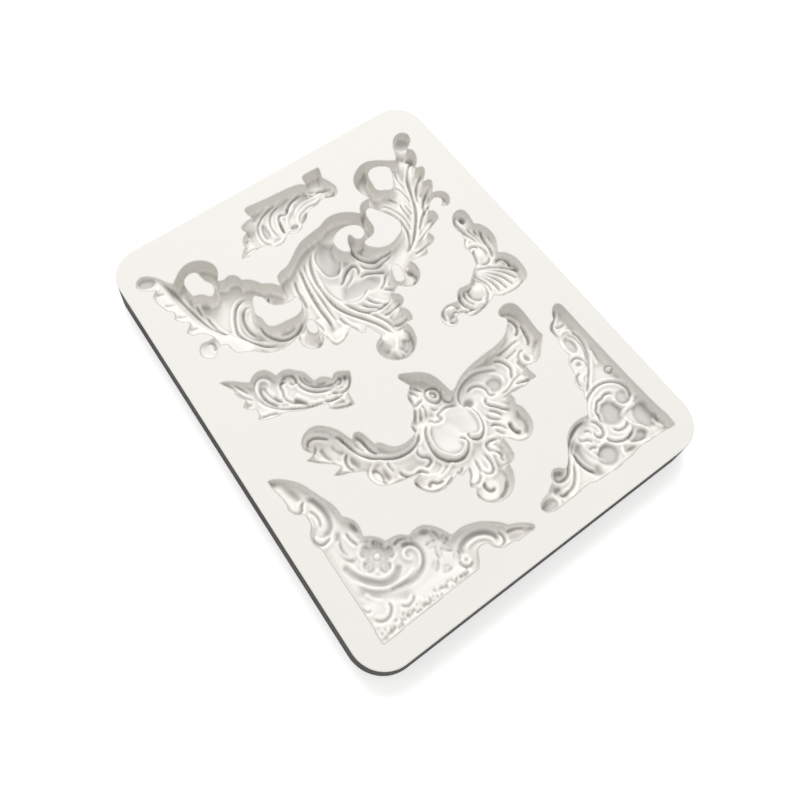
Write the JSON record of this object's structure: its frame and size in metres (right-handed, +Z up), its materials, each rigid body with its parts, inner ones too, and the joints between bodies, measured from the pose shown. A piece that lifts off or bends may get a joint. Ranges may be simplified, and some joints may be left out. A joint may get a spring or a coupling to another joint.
{
  "type": "resin casting mould",
  "caption": "Shallow white silicone slab mould with baroque scroll, leaf, shell and bracket cavities for casting small resin, clay or fondant ornaments.",
  "frame": {"origin": "centre of the flat underside", "axes": "+Z up out of the open cavities, +Y along the long side towards the crest leaf cavity, +X across to the scroll bracket's side"},
  "size_m": [0.119, 0.1486, 0.0115],
  "materials": {
    "silicone": "satin"
  },
  "bodies": {
    "root": {"large_acanthus_cell": "silicone", "crest_leaf_cell": "silicone", "leaf_scroll_cell": "silicone", "shell_corner_cell": "silicone", "cartouche_cell": "silicone", "scroll_bracket_cell": "silicone", "flower_bracket_cell": "silicone"}
  },
  "joints": []
}
